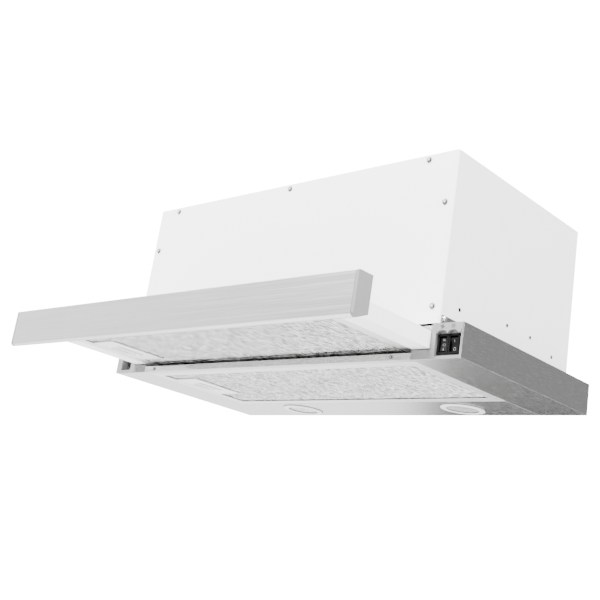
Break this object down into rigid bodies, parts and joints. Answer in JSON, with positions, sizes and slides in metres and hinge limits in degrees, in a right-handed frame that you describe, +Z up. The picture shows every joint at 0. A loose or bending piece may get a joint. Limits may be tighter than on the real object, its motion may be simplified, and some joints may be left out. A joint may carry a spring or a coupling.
{
  "type": "under-cabinet range hood",
  "caption": "Slide-out cooker hood for a wall cabinet: white housing, steel underside with grease filters, lamps and rocker switches, and a steel-faced drawer shown pulled out.",
  "frame": {"origin": "middle of the rear edge of the plane in which the steel frame's top flanges meet the underside of the wall cabinet", "axes": "+X towards the switch side, which is on the user's right, -Y towards the user, +Z up"},
  "size_m": [0.598, 0.4515, 0.2831],
  "materials": {
    "steel": "brushed stainless",
    "zinc": "zinc plated",
    "grey_plastic": "satin grey",
    "dark_plastic": "satin black",
    "rocker_plastic": "semi-gloss black",
    "white_paint": "white satin powder coat",
    "drawer_paint": "white satin powder coat",
    "cap_plastic": "satin silver grey",
    "pale_plastic": "satin off-white",
    "lens_glass": "frosted",
    "black_plastic": "satin black",
    "scroll_plastic": "satin grey",
    "wheel_plastic": "satin dark grey",
    "wire_rubber": "matte grey sleeve",
    "rubber": "matte black",
    "aluminium": "rolled, satin",
    "mesh_aluminium": "expanded foil layers",
    "latch_aluminium": "pressed, satin",
    "spring_steel": "drawn wire"
  },
  "bodies": {
    "hood_body": {"side_rail_right": "steel", "side_rail_left": "steel", "lamp_panel": "steel", "crossbar": "steel", "crossbar_screw_left": "zinc", "crossbar_screw_right": "zinc", "control_block": "grey_plastic", "end_block": "grey_plastic", "buffer": "rubber", "fan_switch_body": "dark_plastic", "lamp_switch_body": "dark_plastic", "housing_wrap": "white_paint", "front_cover": "white_paint", "cover_angle_right": "white_paint", "cover_angle_left": "white_paint", "cover_angle_top": "white_paint", "rear_panel": "white_paint", "rail_screw_right": "zinc", "rail_screw_left": "zinc", "guide_right": "zinc", "guide_left": "zinc", "lamp_bezel_left": "pale_plastic", "lamp_bezel_right": "pale_plastic", "lamp_lens_left": "lens_glass", "lamp_lens_right": "lens_glass", "lamp_module_left": "pale_plastic", "lamp_module_right": "pale_plastic", "outlet_collar": "black_plastic", "scroll_left": "scroll_plastic", "scroll_right": "scroll_plastic", "motor": "zinc", "motor_bracket": "zinc", "capacitor": "pale_plastic", "capacitor_clip": "zinc", "terminal_box": "pale_plastic", "cable_gland": "black_plastic", "wiring_loom": "wire_rubber"},
    "drawer": {"drawer_frame": "drawer_paint", "fascia": "steel", "end_cap_right": "cap_plastic", "end_cap_left": "cap_plastic", "runner_right": "pale_plastic", "runner_left": "pale_plastic"},
    "front_filter": {"front_filter_rim": "aluminium", "front_filter_mesh": "mesh_aluminium", "front_latch_pocket": "latch_aluminium", "front_latch_spring": "spring_steel"},
    "front_latch": {"front_latch": "latch_aluminium"},
    "rear_filter": {"rear_filter_rim": "aluminium", "rear_filter_mesh": "mesh_aluminium", "rear_latch_pocket": "latch_aluminium", "rear_latch_spring": "spring_steel"},
    "rear_latch": {"rear_latch": "latch_aluminium"},
    "fan_rocker": {"fan_rocker": "rocker_plastic"},
    "lamp_rocker": {"lamp_rocker": "rocker_plastic"},
    "rotor": {"impeller_left": "wheel_plastic", "impeller_right": "wheel_plastic", "motor_shaft": "zinc"},
    "flap_front": {"flap_front": "pale_plastic"},
    "flap_rear": {"flap_rear": "pale_plastic"}
  },
  "joints": [
    {"name": "drawer_slide", "type": "slide", "parent": "hood_body", "child": "drawer", "axis": [0, -1, 0], "range_m": [-0.1525, 0]},
    {"name": "front_filter_swing", "type": "hinge", "parent": "drawer", "child": "front_filter", "pos_m": [0, -0.277, -0.0274], "axis": [1, 0, 0], "range_deg": [0, 35]},
    {"name": "front_latch_slide", "type": "slide", "parent": "front_filter", "child": "front_latch", "axis": [1, 0, 0], "range_m": [0, 0.005], "stiffness_N_per_m": 300, "springref_m": -0.01, "deforming": ["front_latch_spring"]},
    {"name": "rear_filter_swing", "type": "hinge", "parent": "hood_body", "child": "rear_filter", "pos_m": [0.2325, -0.173, -0.0395], "axis": [0, -1, 0], "range_deg": [0, 40]},
    {"name": "rear_latch_slide", "type": "slide", "parent": "rear_filter", "child": "rear_latch", "axis": [1, 0, 0], "range_m": [0, 0.005], "stiffness_N_per_m": 300, "springref_m": -0.01, "deforming": ["rear_latch_spring"]},
    {"name": "fan_rocker_tilt", "type": "hinge", "parent": "hood_body", "child": "fan_rocker", "pos_m": [0.27115, -0.2648, -0.02275], "axis": [1, 0, 0], "range_deg": [-10, 10]},
    {"name": "lamp_rocker_tilt", "type": "hinge", "parent": "hood_body", "child": "lamp_rocker", "pos_m": [0.28535, -0.2648, -0.02275], "axis": [-1, 0, 0], "range_deg": [0, 20]},
    {"name": "impeller_spin", "type": "hinge", "parent": "hood_body", "child": "rotor", "pos_m": [0, -0.1607, 0.0955], "axis": [1, 0, 0], "continuous": true},
    {"name": "flap_front_swing", "type": "hinge", "parent": "hood_body", "child": "flap_front", "pos_m": [0, -0.1187, 0.2153], "axis": [-1, 0, 0], "range_deg": [0, 75]},
    {"name": "flap_rear_swing", "type": "hinge", "parent": "hood_body", "child": "flap_rear", "pos_m": [0, -0.1107, 0.2153], "axis": [1, 0, 0], "range_deg": [0, 75]}
  ]
}
